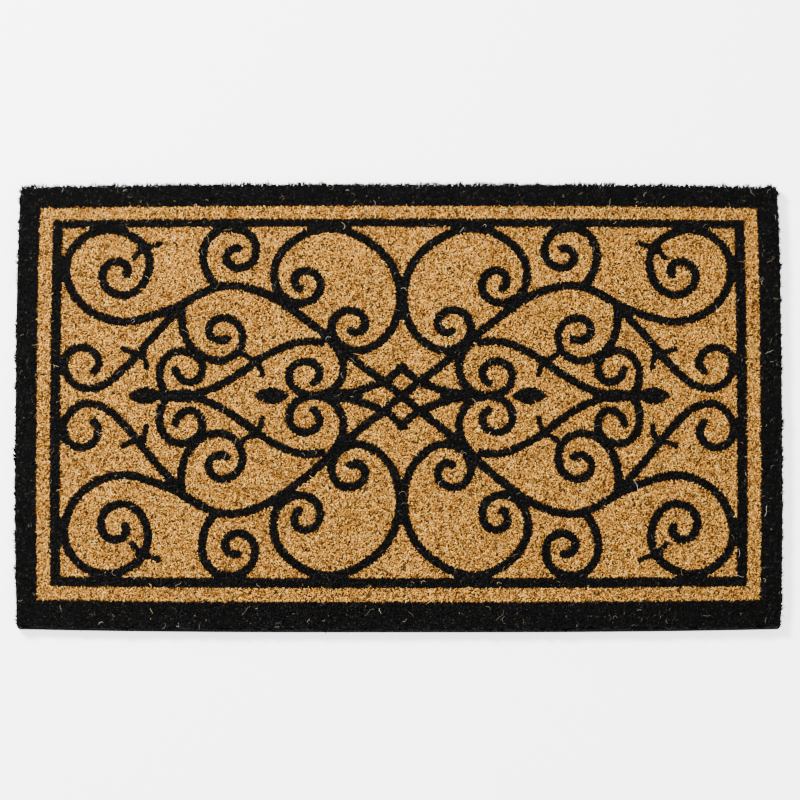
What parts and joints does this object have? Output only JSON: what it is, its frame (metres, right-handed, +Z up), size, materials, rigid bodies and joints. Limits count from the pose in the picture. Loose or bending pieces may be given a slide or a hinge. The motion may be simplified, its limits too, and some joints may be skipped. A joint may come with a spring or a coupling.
{
  "type": "door mat",
  "caption": "Rectangular cut-pile coir door mat on a vinyl backing, with a black border, a natural band, a black frame line and black scrollwork on a natural field.",
  "frame": {"origin": "on the floor under the middle of the mat", "axes": "+X along the mat's length, +Z up, -Y towards the person standing in front of the door"},
  "size_m": [0.762, 0.457, 0.015],
  "materials": {
    "vinyl": "matt, pebbled underside",
    "coir_natural": "natural coconut fibre, cut pile",
    "coir_black": "black-dyed coconut fibre, cut pile"
  },
  "bodies": {
    "root": {"backing": "vinyl", "border_pile_front": "coir_black", "border_pile_back": "coir_black", "border_pile_left": "coir_black", "border_pile_right": "coir_black", "band_pile_front": "coir_natural", "band_pile_back": "coir_natural", "band_pile_left": "coir_natural", "band_pile_right": "coir_natural", "frame_line_front": "coir_black", "frame_line_back": "coir_black", "frame_line_left": "coir_black", "frame_line_right": "coir_black", "field_pile": "coir_natural", "corner_scrolls": "coir_black", "large_scrolls": "coir_black", "small_scrolls": "coir_black", "tendrils": "coir_black", "middle_hearts": "coir_black", "outer_hearts": "coir_black", "bud_arcs": "coir_black", "inner_hearts": "coir_black", "lattice_arms": "coir_black", "centre_lattice": "coir_black", "leaves": "coir_black"}
  },
  "joints": []
}
